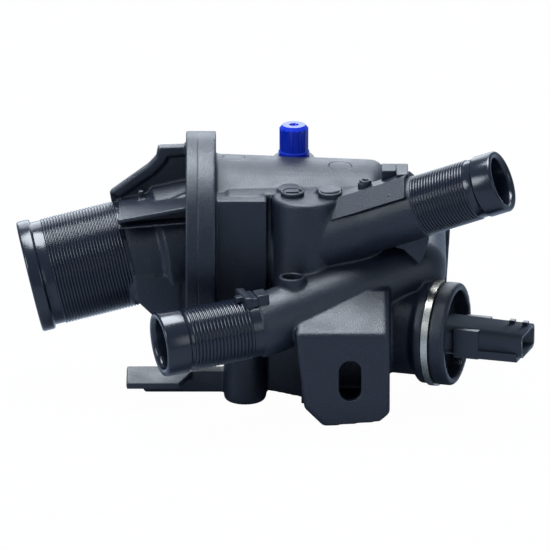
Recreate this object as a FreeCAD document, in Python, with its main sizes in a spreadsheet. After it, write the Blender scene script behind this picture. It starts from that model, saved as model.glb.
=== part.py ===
import FreeCAD, Part
import math
import os
import re

import Sketcher
from FreeCAD import Vector

# Coolant thermostat housing in glass-filled nylon, with its welded inlet cover.
# Origin: centre of the main coolant port in the engine face. +Y points into the engine,
# +X runs along the valve chamber away from the cover, +Z is up. Millimetres.
# Each hose stub has a frame at its mouth or root whose Z axis is the stub's own axis:
# "turn" is the angle about +Z from +X, "tilt" is the angle down from +Z.
SIZES = {
    # valve chamber and the welded joint of housing and cover
    "joint_x": -33.0,
    "chamber_y": -36.0,
    "chamber_length": 61.5,
    "chamber_radius": 26.8,
    "chamber_end_radius": 24.7,
    "chamber_end_round": 5.0,
    "wall": 2.8,
    "joint_radius": 33.2,
    "housing_rim_depth": 5.9,
    "cover_rim_depth": 2.3,
    "seal_seat_radius": 27.0,
    "seal_seat_depth": 3.4,
    # shoulder in front of the chamber, with its flat ledge and two lobes
    "ledge_z": 21.0,
    "ledge_left_x": -24.0,
    "ledge_right_x": 25.0,
    "ledge_front_y": -57.0,
    "ledge_drop": 31.0,
    "lobe_right_x": -10.8,
    "lobe_front_y": -59.6,
    "lobe_round": 2.5,
    "column_x": 2.65,
    "column_y": -58.9,
    "column_radius": 11.2,
    "edge_round": 1.5,
    # upper hose stub, frame at its mouth
    "upper_x": 66.5,
    "upper_y": -73.8,
    "upper_z": 30.7,
    "upper_turn": 164.5,
    "upper_tilt": 111.65,
    "upper_length": 71.7,
    "upper_root_radius": 13.0,
    "upper_pipe_radius": 10.3,
    "upper_taper_length": 24.0,
    "upper_stub_radius": 9.7,
    "upper_stub_length": 29.0,
    "upper_bead_radius": 10.2,
    "upper_bead_length": 7.5,
    "upper_rib_start": 13.9,
    "upper_rib_pitch": 0.9,
    "upper_rib_count": 16,
    "stub_wall": 2.0,
    # lower hose stub, frame at its mouth, and the pipe behind it
    "lower_x": -45.3,
    "lower_y": -91.3,
    "lower_z": -19.6,
    "lower_turn": 17.05,
    "lower_tilt": 84.84,
    "lower_length": 35.1,
    "lower_pipe_radius": 10.3,
    "lower_stub_radius": 9.9,
    "lower_bead_radius": 10.7,
    "lower_bead_length": 8.3,
    "lower_rib_start": 11.6,
    "lower_rib_pitch": 1.3,
    "lower_rib_count": 13,
    "elbow_x": 38.3,
    "elbow_y": -54.0,
    "elbow_z": -5.5,
    # cover: chamber and large hose stub, frame at the joint
    "cover_turn": -175.6,
    "cover_tilt": 103.3,
    "cover_length": 57.0,
    "cover_root_radius": 19.3,
    "cover_root_length": 10.8,
    "cover_neck_length": 12.8,
    "cover_stub_radius": 17.25,
    "cover_bead_radius": 18.5,
    "cover_bead_length": 4.5,
    "cover_bore_radius": 15.0,
    "cover_root_wall": 2.4,
    "cover_rib_start": 7.0,
    "cover_rib_pitch": 1.0,
    "cover_rib_count": 23,
    "rib_depth": 0.4,
    "mouth_round": 0.7,
    # cover: roof shelf, gusset web and locating tab
    "shelf_front_y": -58.0,
    "shelf_left_x": -58.9,
    "shelf_left_z": 12.2,
    "shelf_right_z": 17.1,
    "shelf_left_depth": 3.4,
    "shelf_right_depth": 6.3,
    "shelf_lip": 1.3,
    "shelf_groove_depth": 5.0,
    "web_y": -33.4,
    "web_thickness": 2.2,
    "web_rim_thickness": 4.0,
    "web_rim_width": 3.2,
    "post_side": 2.0,
    "post_height": 3.6,
    "tab_y": -55.0,
    "tab_thickness": 2.5,
    # engine plate, its ports and bolts
    "plate_thickness": 8.0,
    "port_radius": 11.5,
    "port_land_radius": 16.2,
    "port_neck_radius": 14.5,
    "return_port_radius": 7.8,
    "return_land_radius": 12.1,
    "bolt_row_z": -29.0,
    "bolt_left_x": -14.0,
    "bolt_right_x": 42.0,
    "bolt_top_x": -24.0,
    "bolt_top_z": 5.0,
    "bolt_boss_radius": 7.0,
    "bush_radius": 4.7,
    "bush_bore_radius": 3.3,
    "groove_width": 2.0,
    "groove_depth": 2.6,
    "groove_land": 1.2,
    # slotted bracket under the lower pipe
    "bracket_left_x": -1.1,
    "bracket_width": 30.9,
    "bracket_front_y": -91.0,
    "bracket_back_y": -50.0,
    "bracket_top_z": -16.5,
    "bracket_peak_y": -74.0,
    "bracket_peak_z": -6.8,
    "bracket_bottom_z": -48.0,
    "bracket_wall": 3.0,
    "bracket_round": 2.0,
    "slot_x": 16.9,
    "slot_z": -32.3,
    "slot_width": 7.0,
    "slot_length": 13.5,
    # lower wall, its column and the tongue
    "skirt_left_x": -24.0,
    "skirt_front_y": -60.0,
    "skirt_back_y": -30.0,
    "skirt_bottom_z": -46.0,
    "skirt_column_x": -17.4,
    "skirt_column_radius": 7.0,
    "skirt_column_bottom_z": -49.0,
    "skirt_column_height": 28.0,
    "tongue_left_x": -56.3,
    "tongue_front_y": -70.0,
    "tongue_back_y": -52.0,
    "tongue_z": -40.0,
    "tongue_thickness": 2.0,
    "tongue_rib_depth": 7.0,
    # sensor port, frame at its mouth
    "sensor_x": 52.1,
    "sensor_y": -66.0,
    "sensor_z": -24.4,
    "sensor_turn": 163.0,
    "collar_radius": 16.9,
    "collar_length": 10.5,
    "collar_bore_radius": 14.4,
    "collar_bore_depth": 8.0,
    "port_body_radius": 14.5,
    "port_body_length": 34.0,
    "seat_radius": 9.0,
    "seat_depth": 23.0,
    "probe_well_radius": 5.5,
    "probe_well_depth": 31.0,
    "clip_station": 6.5,
    "clip_width": 2.2,
    "clip_inner_radius": 15.7,
    "clip_outer_radius": 17.5,
    "clip_opening": 160.0,
    # sensor
    "sensor_head_radius": 14.0,
    "sensor_head_depth": 3.4,
    "sensor_plug_end": 22.0,
    "connector_width": 16.0,
    "connector_height": 10.0,
    "connector_length": 25.4,
    "connector_wall": 1.5,
    "connector_depth": 15.0,
    "connector_round": 2.6,
    "probe_radius": 3.5,
    "probe_end": 30.0,
    "pin_width": 2.3,
    "pin_thickness": 0.64,
    "pin_spacing": 5.0,
    # bleed screw
    "bleed_x": -1.4,
    "bleed_y": -25.0,
    "bleed_seat_z": 24.0,
    "bleed_boss_radius": 6.5,
    "spotface_gap": 0.6,
    "bleed_bore_radius": 3.0,
    "bleed_shank_length": 9.0,
    "cap_radius": 5.1,
    "cap_height": 10.6,
    "flute_count": 16,
    "flute_radius": 0.55,
    # wax valve
    "seal_lip": 1.8,
    "seal_step": 0.9,
    "seal_face": 2.2,
    "ring_start": 1.1,
    "ring_thickness": 1.2,
    "seat_bore_radius": 14.0,
    "seat_lip": 1.7,
    "valve_radius": 16.2,
    "valve_thickness": 1.2,
    "capsule_radius": 8.0,
    "capsule_neck_radius": 5.0,
    "capsule_end": 20.0,
    "piston_radius": 1.8,
    "strap_width": 8.0,
    "strap_thickness": 1.5,
    "strap_radius": 15.6,
    "bridge_height": 10.4,
    "bridge_half_width": 6.0,
    "cage_depth": 23.0,
    "spring_radius": 12.6,
    "spring_wire": 2.2,
    "spring_turns": 3.5,
    # small features of the shoulder and pipes
    "mark_disc_radius": 4.2,
    "ring_boss_x": -2.0,
    "ring_boss_y": -75.7,
    "ring_boss_z": -1.8,
    "ring_boss_radius": 4.45,
    "ring_boss_bore": 3.25,
    # running clearance of sliding and seated pieces
    "clearance": 0.1,
}

doc = FreeCAD.newDocument("coolant_housing")
sheet = doc.addObject("Spreadsheet::Sheet", "dims")
for row, (alias, size) in enumerate(SIZES.items(), start=1):
    sheet.set(f"A{row}", alias)
    sheet.set(f"B{row}", str(size))
    sheet.setAlias(f"B{row}", alias)
doc.recompute()


def bound(expression):
    """Write a formula of size names as one that reads the sheet's cells."""
    return re.sub(
        r"[a-z][a-z0-9_]+", lambda word: "dims." + word[0] if word[0] in SIZES else word[0], expression
    )


def number(expression):
    """The formula's value now, as a plain number."""
    return float(FreeCAD.Units.Quantity(sheet.evalExpression(bound(expression))).Value)


def bind(feature, **properties):
    for name, expression in properties.items():
        feature.setExpression(name, bound(expression))


def place(feature, at, turn="0", tilt="0"):
    x, y, z = at
    feature.setExpression(
        "Placement",
        bound(
            f"create(<<placement>>; create(<<vector>>; {x}; {y}; {z});"
            f" create(<<rotation>>; {turn}; {tilt}; 0))"
        ),
    )
    return feature


def rod(name, radius, length, at, turn="0", tilt="0"):
    feature = doc.addObject("Part::Cylinder", name)
    bind(feature, Radius=radius, Height=length)
    return place(feature, at, turn, tilt)


def ball(name, radius, at):
    feature = doc.addObject("Part::Sphere", name)
    bind(feature, Radius=radius)
    return place(feature, at)


def block(name, length, width, height, at, turn="0", tilt="0"):
    feature = doc.addObject("Part::Box", name)
    bind(feature, Length=length, Width=width, Height=height)
    return place(feature, at, turn, tilt)


def joined(name, pieces):
    feature = doc.addObject("Part::MultiFuse", name)
    feature.Shapes = pieces
    feature.Refine = True
    return feature


def removed(name, base, tool):
    feature = doc.addObject("Part::Cut", name)
    feature.Base = base
    feature.Tool = tool
    feature.Refine = True
    return feature


def new_body(name, at, turn="0", tilt="0"):
    return place(doc.addObject("PartDesign::Body", name), at, turn, tilt)


def outline(body, name, plane_role, corners):
    """A closed sketch of straight runs whose corners are bound to the sheet."""
    sketch = body.newObject("Sketcher::SketchObject", name)
    plane = next(f for f in body.Origin.OriginFeatures if f.Role == plane_role)
    sketch.AttachmentSupport = [(plane, "")]
    sketch.MapMode = "FlatFace"
    values = [(number(across), number(up)) for across, up in corners]
    count = len(values)
    for i in range(count):
        start, end = values[i], values[(i + 1) % count]
        sketch.addGeometry(Part.LineSegment(Vector(*start, 0), Vector(*end, 0)), False)
    joints = [Sketcher.Constraint("Coincident", i, 2, (i + 1) % count, 1) for i in range(count)]
    sketch.addConstraint(joints)
    distances = []
    for i, (across, up) in enumerate(values):
        distances.append(Sketcher.Constraint("DistanceX", -1, 1, i, 1, across))
        distances.append(Sketcher.Constraint("DistanceY", -1, 1, i, 1, up))
    sketch.addConstraint(distances)
    for i, (across, up) in enumerate(corners):
        sketch.setExpression(f"Constraints[{count + 2 * i}]", bound(across))
        sketch.setExpression(f"Constraints[{count + 2 * i + 1}]", bound(up))
    return sketch


def turned(name, corners, at, turn="0", tilt="0", angle="360"):
    """A body turned about its own Z axis, from (radius, station) corners.

    A part turn is centred on the body's +Y side."""
    body = new_body(name, at, turn, tilt)
    feature = body.newObject("PartDesign::Revolution", name + "_turned")
    feature.Profile = outline(body, name + "_profile", "YZ_Plane", corners)
    feature.ReferenceAxis = (feature.Profile[0], ["V_Axis"])
    feature.Midplane = True
    bind(feature, Angle=angle)
    return body


def prism(name, plane_role, corners, length, at, turn="0", tilt="0", centred=False):
    """A flat outline padded along its plane's normal (+X, -Y or +Z)."""
    body = new_body(name, at, turn, tilt)
    feature = body.newObject("PartDesign::Pad", name + "_pad")
    feature.Profile = outline(body, name + "_profile", plane_role, corners)
    feature.Midplane = centred
    bind(feature, Length=length)
    return body


def rounded(body, radius, picked):
    """Round the edges of a body's tip for which picked(edge) holds."""
    doc.recompute()
    tip = body.Tip
    names = [f"Edge{i}" for i, edge in enumerate(tip.Shape.Edges, start=1) if picked(edge)]
    feature = body.newObject("PartDesign::Fillet", tip.Name + "_round")
    feature.Base = (tip, names)
    bind(feature, Radius=radius)
    return body


def ribbed_stub(first, start, pitch, ribs, radius):
    """Corners of a row of shallow V grooves between round ribs, outwards from a station."""
    corners = []
    for i in range(ribs):
        corners.append((f"{radius} - rib_depth", f"{first} + {start} + {i + 0.5} * {pitch}"))
        corners.append((radius, f"{first} + {start} + {i + 1} * {pitch}"))
    return corners


# Housing: valve chamber with its welded rim, a shape turned about the chamber axis.
CHAMBER = ("joint_x", "chamber_y", "0")
chamber = turned(
    "chamber_outer",
    [
        ("0", "0"),
        ("joint_radius", "0"),
        ("joint_radius", "housing_rim_depth"),
        ("chamber_radius", "housing_rim_depth"),
        ("chamber_end_radius", "chamber_length"),
        ("0", "chamber_length"),
    ],
    CHAMBER,
    tilt="90",
)
rounded(
    chamber,
    "chamber_end_round",
    lambda edge: abs(edge.BoundBox.ZMin - number("chamber_length")) < 0.01
    and edge.BoundBox.DiagonalLength > 1
    and edge.BoundBox.ZLength < 0.01 and edge.Closed,
)

# Housing: shoulder with the ledge and the left lobe, and the convex column beside it.
shoulder = prism(
    "shoulder",
    "XY_Plane",
    [
        ("ledge_left_x", "chamber_y"),
        ("ledge_left_x", "lobe_front_y"),
        ("lobe_right_x", "lobe_front_y"),
        ("lobe_right_x", "ledge_front_y"),
        ("ledge_right_x", "ledge_front_y"),
        ("ledge_right_x", "chamber_y"),
    ],
    "ledge_drop",
    ("0", "0", "ledge_z - ledge_drop"),
)
rounded(
    shoulder,
    "lobe_round",
    lambda edge: edge.BoundBox.ZLength > 1 and abs(edge.BoundBox.YMin - number("lobe_front_y")) < 0.01,
)
rounded(
    shoulder,
    "edge_round",
    lambda edge: edge.BoundBox.ZMin > number("ledge_drop") - 0.01
    and edge.BoundBox.YMax < number("ledge_front_y") + 0.01,
)
column = turned(
    "column",
    [("0", "0"), ("column_radius", "0"), ("column_radius", "ledge_drop + 4"), ("0", "ledge_drop + 4")],
    ("column_x", "column_y", "ledge_z - ledge_drop - 4"),
)
rounded(column, "edge_round", lambda edge: edge.BoundBox.ZMin > number("ledge_drop") + 3.9 and edge.Closed)

# Housing: upper pipe and its hose stub, turned about the stub axis from the mouth inwards.
UPPER = ("upper_x", "upper_y", "upper_z")
upper_ribs = int(number("upper_rib_count"))
upper_pipe = turned(
    "upper_pipe",
    [
        ("0", "0"),
        ("upper_bead_radius - mouth_round", "0"),
        ("upper_bead_radius", "mouth_round"),
        ("upper_bead_radius", "upper_bead_length - mouth_round"),
        ("upper_stub_radius", "upper_bead_length"),
        ("upper_stub_radius", "upper_rib_start"),
        *ribbed_stub("0", "upper_rib_start", "upper_rib_pitch", upper_ribs, "upper_stub_radius"),
        ("upper_stub_radius", "upper_stub_length"),
        ("upper_pipe_radius", "upper_stub_length"),
        ("upper_pipe_radius", "upper_length - upper_taper_length"),
        ("upper_root_radius", "upper_length"),
        ("0", "upper_length"),
    ],
    UPPER,
    "upper_turn",
    "upper_tilt",
)

# Housing: lower stub, the straight pipe behind its bend and the elbow into the engine plate.
LOWER = ("lower_x", "lower_y", "lower_z")
lower_ribs = int(number("lower_rib_count"))
lower_stub = turned(
    "lower_stub",
    [
        ("0", "0"),
        ("lower_bead_radius - mouth_round", "0"),
        ("lower_bead_radius", "mouth_round"),
        ("lower_bead_radius", "lower_bead_length - mouth_round"),
        ("lower_stub_radius", "lower_bead_length"),
        ("lower_stub_radius", "lower_rib_start"),
        *ribbed_stub("0", "lower_rib_start", "lower_rib_pitch", lower_ribs, "lower_stub_radius"),
        ("lower_stub_radius", "lower_length - 2"),
        ("lower_pipe_radius", "lower_length - 1.6"),
        ("lower_pipe_radius", "lower_length"),
        ("0", "lower_length"),
    ],
    LOWER,
    "lower_turn",
    "lower_tilt",
)
BEND_X = "(lower_x + lower_length * sin(lower_tilt) * cos(lower_turn))"
BEND_Y = "(lower_y + lower_length * sin(lower_tilt) * sin(lower_turn))"
BEND_Z = "(lower_z + lower_length * cos(lower_tilt))"
BEND = (BEND_X, BEND_Y, BEND_Z)
ELBOW = ("elbow_x", "elbow_y", "elbow_z")
RUN_X = f"(elbow_x - {BEND_X})"
RUN_Y = f"(elbow_y - {BEND_Y})"
RUN_Z = f"(elbow_z - {BEND_Z})"
RUN_LENGTH = f"sqrt({RUN_X}^2 + {RUN_Y}^2 + {RUN_Z}^2)"
RUN_TURN = f"atan2({RUN_Y}; {RUN_X})"
RUN_TILT = f"acos({RUN_Z} / {RUN_LENGTH})"
lower_bend = ball("lower_bend", "lower_pipe_radius", BEND)
lower_run = rod("lower_run", "lower_pipe_radius", RUN_LENGTH, BEND, RUN_TURN, RUN_TILT)
elbow = ball("elbow", "lower_pipe_radius", ELBOW)
elbow_run = rod("elbow_run", "lower_pipe_radius", "-elbow_y", ELBOW, "90", "90")

# Housing: slotted bracket, a hollow wedge whose top slopes up under the lower pipe.
bracket = prism(
    "bracket",
    "YZ_Plane",
    [
        ("bracket_front_y", "bracket_top_z"),
        ("bracket_peak_y", "bracket_peak_z"),
        ("bracket_back_y", "bracket_peak_z"),
        ("bracket_back_y", "bracket_bottom_z - 1"),
        ("bracket_front_y", "bracket_bottom_z - 1"),
    ],
    "bracket_width",
    ("bracket_left_x", "0", "0"),
)
corner_cut = bracket.newObject("PartDesign::Pocket", "bracket_corner_cut")
corner_cut.Profile = outline(
    bracket,
    "bracket_corner_profile",
    "XZ_Plane",
    [
        ("-2", "bracket_top_z"),
        ("0", "bracket_top_z"),
        ("3", "bracket_bottom_z + 6"),
        ("9", "bracket_bottom_z"),
        ("bracket_width - 3.3", "bracket_bottom_z + 1.7"),
        ("bracket_width", "bracket_bottom_z + 4.5"),
        ("bracket_width + 1", "bracket_bottom_z + 4.5"),
        ("bracket_width + 1", "bracket_bottom_z - 2"),
        ("-2", "bracket_bottom_z - 2"),
    ],
)
corner_cut.Type = "ThroughAll"
corner_cut.Midplane = True
rounded(
    bracket,
    "bracket_round",
    lambda edge: edge.BoundBox.YMin < number("bracket_peak_y") - 1
    and edge.BoundBox.ZMax > number("bracket_bottom_z") + 5,
)

# Housing: sensor port with its collar, turned from the mouth inwards.
SENSOR = ("sensor_x", "sensor_y", "sensor_z")
port_body = turned(
    "port_body",
    [
        ("0", "0"),
        ("collar_radius - mouth_round", "0"),
        ("collar_radius", "mouth_round"),
        ("collar_radius", "clip_station - clip_width / 2 - clearance"),
        ("clip_inner_radius - clearance", "clip_station - clip_width / 2 - clearance"),
        ("clip_inner_radius - clearance", "clip_station + clip_width / 2 + clearance"),
        ("collar_radius", "clip_station + clip_width / 2 + clearance"),
        ("collar_radius", "collar_length"),
        ("port_body_radius", "collar_length + 2"),
        ("port_body_radius", "port_body_length"),
        ("0", "port_body_length"),
    ],
    SENSOR,
    "sensor_turn",
    "90",
)

# Housing: engine plate, an outline of arcs round both ports and the three bolts.
PLATE_LANDS = [
    ("bolt_left_x", "bolt_row_z", "bolt_boss_radius"),
    ("bolt_right_x", "bolt_row_z", "bolt_boss_radius"),
    ("elbow_x", "elbow_z", "return_land_radius"),
    ("0", "0", "port_land_radius"),
    ("bolt_top_x", "bolt_top_z", "bolt_boss_radius"),
]


def plate_shape():
    """Tangent lines and arcs round the lands, counter-clockwise as seen from the front."""
    lands = [tuple(number(value) for value in land) for land in PLATE_LANDS]
    touch = []
    for i, (ax, az, ar) in enumerate(lands):
        bx, bz, br = lands[(i + 1) % len(lands)]
        span = math.hypot(bx - ax, bz - az)
        side = math.atan2(bz - az, bx - ax) - math.acos((ar - br) / span)
        touch.append(
            (
                Vector(ax + ar * math.cos(side), 0, az + ar * math.sin(side)),
                Vector(bx + br * math.cos(side), 0, bz + br * math.sin(side)),
                side,
            )
        )
    edges = []
    for i, (leave, arrive, side) in enumerate(touch):
        x, z, radius = lands[(i + 1) % len(lands)]
        next_leave, _, next_side = touch[(i + 1) % len(lands)]
        if next_side < side:
            next_side += 2 * math.pi
        middle = (side + next_side) / 2
        top = Vector(x + radius * math.cos(middle), 0, z + radius * math.sin(middle))
        edges.append(Part.makeLine(leave, arrive))
        edges.append(Part.Arc(arrive, top, next_leave).toShape())
    face = Part.Face(Part.Wire(Part.__sortEdges__(edges)))
    return face.extrude(Vector(0, -number("plate_thickness"), 0))


plate = doc.addObject("Part::Feature", "engine_plate")
plate.Shape = plate_shape()
port_neck = rod(
    "port_neck", "port_neck_radius", "-chamber_y - chamber_end_radius / 2", ("0", "0", "0"), "-90", "90"
)

# Housing: lower wall between chamber, plate and bracket, with its column and tongue.
skirt = prism(
    "skirt",
    "XZ_Plane",
    [
        ("skirt_left_x", "0"),
        ("skirt_left_x", "skirt_bottom_z + 1"),
        ("skirt_left_x + 15", "skirt_bottom_z"),
        ("bracket_left_x + 6", "skirt_bottom_z - 3"),
        ("bracket_left_x + 6", "0"),
    ],
    "skirt_back_y - skirt_front_y",
    ("0", "skirt_back_y", "0"),
)
skirt_column = turned(
    "skirt_column",
    [
        ("0", "0"),
        ("skirt_column_radius", "0"),
        ("skirt_column_radius", "skirt_column_height"),
        ("0", "skirt_column_height"),
    ],
    ("skirt_column_x", "skirt_front_y", "skirt_column_bottom_z"),
)
rounded(skirt_column, "bracket_round", lambda edge: edge.BoundBox.ZMax < 0.01 and edge.Closed)
skirt_web_left = block(
    "skirt_web_left",
    "wall",
    "-skirt_back_y - 4",
    "26",
    ("skirt_left_x", "skirt_back_y", "skirt_bottom_z + 12"),
)
skirt_web_right = block(
    "skirt_web_right", "wall", "-skirt_back_y - 4", "26", ("0", "skirt_back_y", "skirt_bottom_z + 12")
)
tongue = prism(
    "tongue",
    "XY_Plane",
    [
        ("tongue_left_x", "tongue_back_y"),
        ("tongue_left_x", "tongue_front_y"),
        ("tongue_left_x + 17.6", "tongue_front_y"),
        ("tongue_left_x + 21.5", "skirt_front_y + 2"),
        ("skirt_left_x + 2", "skirt_front_y + 2"),
        ("skirt_left_x + 2", "tongue_back_y"),
    ],
    "tongue_thickness",
    ("0", "0", "tongue_z - tongue_thickness"),
)
tongue_rib = prism(
    "tongue_rib",
    "XZ_Plane",
    [
        ("tongue_left_x + 2", "tongue_z - tongue_thickness / 2"),
        ("tongue_left_x + 6", "tongue_z - tongue_rib_depth"),
        ("skirt_left_x + 2", "tongue_z - tongue_rib_depth"),
        ("skirt_left_x + 2", "tongue_z - tongue_thickness / 2"),
    ],
    "wall",
    ("0", "skirt_front_y + 2 + wall", "0"),
)

# Housing: fin between the two pipes, marks, pin, ring boss, bleed boss and pipe lugs.
fin = prism(
    "fin",
    "XZ_Plane",
    [
        ("elbow_x - 12", "12"),
        ("elbow_x + 4.3", "17"),
        ("elbow_x + 2", "elbow_z"),
        ("elbow_x - 8", "elbow_z"),
    ],
    "wall",
    ("0", "elbow_y - 2", "0"),
)
mark_left = rod("mark_left", "mark_disc_radius", "2", ("-2.7", "-54.5", "ledge_z - 0.8"))
mark_right = rod("mark_right", "mark_disc_radius", "9", ("10.1", "-56.5", "ledge_z - 7.4"))
pin_post = turned(
    "pin_post",
    [("1.1", "0"), ("2.1", "0"), ("2.1", "6"), ("1.1", "6")],
    ("21.9", "-61.5", "ledge_z + 0.4"),
)
ring_boss = rod(
    "ring_boss", "ring_boss_radius", "10", ("ring_boss_x", "ring_boss_y", "ring_boss_z - 10")
)
bleed_boss = rod("bleed_boss", "bleed_boss_radius", "8", ("bleed_x", "bleed_y", "bleed_seat_z - 8"))
saddle = block(
    "saddle",
    "3",
    "12",
    "3.2",
    (
        "lower_x + 27.5 * cos(lower_turn) + 6 * sin(lower_turn)",
        "lower_y + 27.5 * sin(lower_turn) - 6 * cos(lower_turn)",
        "lower_z + 9.2 + 27.5 * cos(lower_tilt)",
    ),
    "lower_turn",
    "0",
)

housing_solid = joined(
    "housing_solid",
    [
        chamber, shoulder, column, upper_pipe, lower_stub, lower_bend, lower_run, elbow, elbow_run,
        bracket, port_body, plate, port_neck, skirt, skirt_column, skirt_web_left, skirt_web_right,
        tongue, tongue_rib, fin, mark_left, mark_right, pin_post, ring_boss, bleed_boss, saddle,
    ],
)

# Housing: the passages and hollows taken out of the moulding.
chamber_bore = turned(
    "chamber_bore",
    [
        ("0", "-1"),
        ("seal_seat_radius", "-1"),
        ("seal_seat_radius", "seal_seat_depth"),
        ("chamber_radius - wall", "seal_seat_depth"),
        ("chamber_end_radius - wall", "chamber_length - wall - chamber_end_round / 2"),
        ("chamber_end_radius - wall - chamber_end_round / 2", "chamber_length - wall"),
        ("0", "chamber_length - wall"),
    ],
    CHAMBER,
    tilt="90",
)
UPPER_BORE = "(upper_stub_radius - stub_wall)"
LOWER_BORE = "(lower_stub_radius - stub_wall)"
upper_bore = turned(
    "upper_bore",
    [("0", "-1"), (UPPER_BORE, "-1"), (UPPER_BORE, "upper_length + 8"), ("0", "upper_length + 8")],
    UPPER,
    "upper_turn",
    "upper_tilt",
)
lower_bore = turned(
    "lower_bore",
    [("0", "-1"), (LOWER_BORE, "-1"), (LOWER_BORE, "lower_length"), ("0", "lower_length")],
    LOWER,
    "lower_turn",
    "lower_tilt",
)
bend_bore = ball("bend_bore", LOWER_BORE, BEND)
run_bore = rod("run_bore", LOWER_BORE, RUN_LENGTH, BEND, RUN_TURN, RUN_TILT)
elbow_bore = ball("elbow_bore", LOWER_BORE, ELBOW)
return_bore = rod("return_bore", "return_port_radius", "1 - elbow_y", ELBOW, "90", "90")
port_bore = rod("port_bore", "port_radius", "1 - chamber_y", ("0", "chamber_y", "0"), "90", "90")
sensor_bore = turned(
    "sensor_bore",
    [
        ("0", "-1"),
        ("collar_bore_radius", "-1"),
        ("collar_bore_radius", "collar_bore_depth"),
        ("seat_radius", "collar_bore_depth"),
        ("seat_radius", "seat_depth"),
        ("probe_well_radius", "seat_depth"),
        ("probe_well_radius", "probe_well_depth"),
        ("0", "probe_well_depth"),
    ],
    SENSOR,
    "sensor_turn",
    "90",
)
well_rise = rod(
    "well_rise",
    "probe_well_radius - 0.5",
    "elbow_z - sensor_z",
    (
        "sensor_x + (probe_well_depth - 4) * cos(sensor_turn)",
        "sensor_y + (probe_well_depth - 4) * sin(sensor_turn)",
        "sensor_z",
    ),
)
bleed_bore = rod("bleed_bore", "bleed_bore_radius", "12", ("bleed_x", "bleed_y", "bleed_seat_z - 11.5"))
bleed_spotface = rod(
    "bleed_spotface", "cap_radius + spotface_gap", "12", ("bleed_x", "bleed_y", "bleed_seat_z")
)
ring_boss_bore = rod(
    "ring_boss_bore", "ring_boss_bore", "8", ("ring_boss_x", "ring_boss_y", "ring_boss_z - 5")
)
bracket_cavity_solid = prism(
    "bracket_cavity_solid",
    "XZ_Plane",
    [
        ("bracket_left_x + bracket_wall + 0.3", "bracket_top_z - bracket_wall"),
        ("bracket_left_x + bracket_wall + 3", "bracket_bottom_z + bracket_wall + 4.5"),
        ("bracket_left_x + bracket_wall + 7", "bracket_bottom_z + bracket_wall + 4"),
        ("bracket_left_x + bracket_width - bracket_wall", "bracket_bottom_z + bracket_wall + 4"),
        ("bracket_left_x + bracket_width - bracket_wall", "bracket_top_z - bracket_wall"),
    ],
    "bracket_back_y + 1 - bracket_front_y - bracket_wall",
    ("0", "bracket_back_y + 1", "0"),
)
cavity_keep = rod("cavity_keep", "port_body_radius", "port_body_length", SENSOR, "sensor_turn", "90")
bracket_cavity = removed("bracket_cavity", bracket_cavity_solid, cavity_keep)
SLOT_REACH = "(slot_length - slot_width) / 2"
slot_top = rod(
    "slot_top",
    "slot_width / 2",
    "bracket_wall + 2",
    ("slot_x", "bracket_front_y - 1", f"slot_z + {SLOT_REACH}"),
    "90",
    "90",
)
slot_low = rod(
    "slot_low",
    "slot_width / 2",
    "bracket_wall + 2",
    ("slot_x", "bracket_front_y - 1", f"slot_z - {SLOT_REACH}"),
    "90",
    "90",
)
slot_middle = block(
    "slot_middle",
    "slot_width",
    "bracket_wall + 2",
    "slot_length - slot_width",
    ("slot_x - slot_width / 2", "bracket_front_y - 1", f"slot_z - {SLOT_REACH}"),
)
skirt_cavity = block(
    "skirt_cavity",
    "bracket_left_x + 6 - skirt_left_x - 2 * wall",
    "skirt_back_y - skirt_front_y - wall + 1",
    "-chamber_end_radius - skirt_bottom_z - 2 * wall",
    ("skirt_left_x + wall", "skirt_front_y + wall", "skirt_bottom_z + wall"),
)


def ring_groove(name, inner_radius, centre_x, centre_z):
    """A gasket groove sunk in the engine face round a port."""
    return turned(
        name,
        [
            (f"{inner_radius} + groove_land", "-1"),
            (f"{inner_radius} + groove_land + groove_width", "-1"),
            (f"{inner_radius} + groove_land + groove_width", "groove_depth"),
            (f"{inner_radius} + groove_land", "groove_depth"),
        ],
        (centre_x, "0", centre_z),
        "-90",
        "90",
    )


port_groove = ring_groove("port_groove", "port_radius", "0", "0")
return_groove = ring_groove("return_groove", "return_port_radius", "elbow_x", "elbow_z")
BOLTS = [("bolt_left_x", "bolt_row_z"), ("bolt_right_x", "bolt_row_z"), ("bolt_top_x", "bolt_top_z")]
bolt_holes = [
    rod(f"bolt_hole_{i}", "bush_radius", "plate_thickness + 2", (x, "1", z), "-90", "90")
    for i, (x, z) in enumerate(BOLTS, start=1)
]
housing_hollows = joined(
    "housing_hollows",
    [
        chamber_bore, upper_bore, lower_bore, bend_bore, run_bore, elbow_bore, return_bore, port_bore,
        sensor_bore, well_rise, bleed_bore, bleed_spotface, ring_boss_bore, bracket_cavity,
        slot_top, slot_low,
        slot_middle, skirt_cavity, port_groove, return_groove, *bolt_holes,
    ],
)
housing = removed("housing", housing_solid, housing_hollows)

# Cover: stub and conical chamber, turned about the stub axis from the joint outwards.
cover_ribs = int(number("cover_rib_count"))
COVER_RIB_FIRST = "cover_length - cover_rib_start - cover_rib_pitch * cover_rib_count"
cover_shell = turned(
    "cover_shell",
    [
        ("0", "-8"),
        ("cover_root_radius", "-8"),
        ("cover_root_radius", "cover_root_length"),
        ("cover_stub_radius", "cover_neck_length"),
        *ribbed_stub("0", COVER_RIB_FIRST, "cover_rib_pitch", cover_ribs, "cover_stub_radius"),
        ("cover_stub_radius", "cover_length - cover_bead_length"),
        ("cover_bead_radius", "cover_length - cover_bead_length + mouth_round"),
        ("cover_bead_radius", "cover_length - mouth_round"),
        ("cover_bead_radius - mouth_round", "cover_length"),
        ("0", "cover_length"),
    ],
    CHAMBER,
    "cover_turn",
    "cover_tilt",
)
cover_rim = rod(
    "cover_rim",
    "joint_radius",
    "cover_rim_depth",
    ("joint_x - cover_rim_depth", "chamber_y", "0"),
    "0",
    "90",
)
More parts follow.
